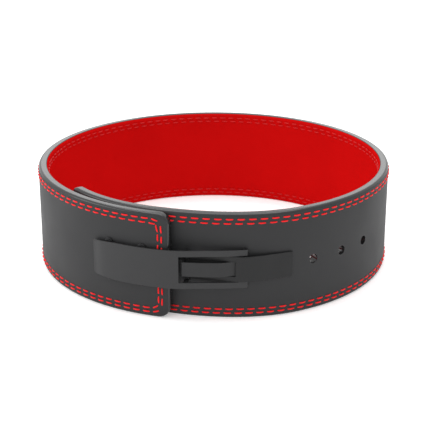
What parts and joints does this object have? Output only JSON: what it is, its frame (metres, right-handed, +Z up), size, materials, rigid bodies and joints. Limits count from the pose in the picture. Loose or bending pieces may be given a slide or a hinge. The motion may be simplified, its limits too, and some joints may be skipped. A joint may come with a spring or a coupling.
{
  "type": "weightlifting belt",
  "caption": "Thick leather lifting belt lined in red suede, closed in a ring by a hinged lever buckle whose hook sits in a punched hole; it stands on its lower edge.",
  "frame": {"origin": "middle of the belt's footprint, on the surface that it stands on", "axes": "+Z up along the strap's width; -Y is the front, where the lever buckle is; +X towards the punched holes that show"},
  "size_m": [0.3578, 0.3604, 0.1016],
  "materials": {
    "strap_leather": "black, fine pressed grain, satin",
    "lining_suede": "red suede, matt",
    "lever_steel": "black powder coat, satin",
    "buckle_steel": "black powder coat, satin",
    "hook_steel": "black powder coat, satin",
    "screw_steel": "black oxide steel",
    "thread": "red bonded thread"
  },
  "bodies": {
    "root": {"strap_leather": "strap_leather", "lining_suede": "lining_suede", "base_plate": "buckle_steel", "screw_1": "screw_steel", "screw_2": "screw_steel", "screw_3": "screw_steel", "screw_4": "screw_steel", "lever_pin": "screw_steel"},
    "lever": {"lever_handle": "lever_steel", "hook_rivet_1": "screw_steel", "hook_rivet_2": "screw_steel"},
    "hook": {"hook_plate": "hook_steel"}
  },
  "joints": [
    {"name": "lever_hinge", "type": "hinge", "parent": "root", "child": "lever", "pos_m": [0.02913, -0.17471, 0.0508], "axis": [0, 0, 1], "range_deg": [0, 110]},
    {"name": "hook_hinge", "type": "hinge", "parent": "lever", "child": "hook", "pos_m": [-0.02404, -0.16983, 0.0508], "axis": [0, 0, 1], "range_deg": [-110, 0]}
  ],
  "couplings": [
    {"joint": "hook_hinge", "follows": "lever_hinge", "ratio": -1}
  ]
}
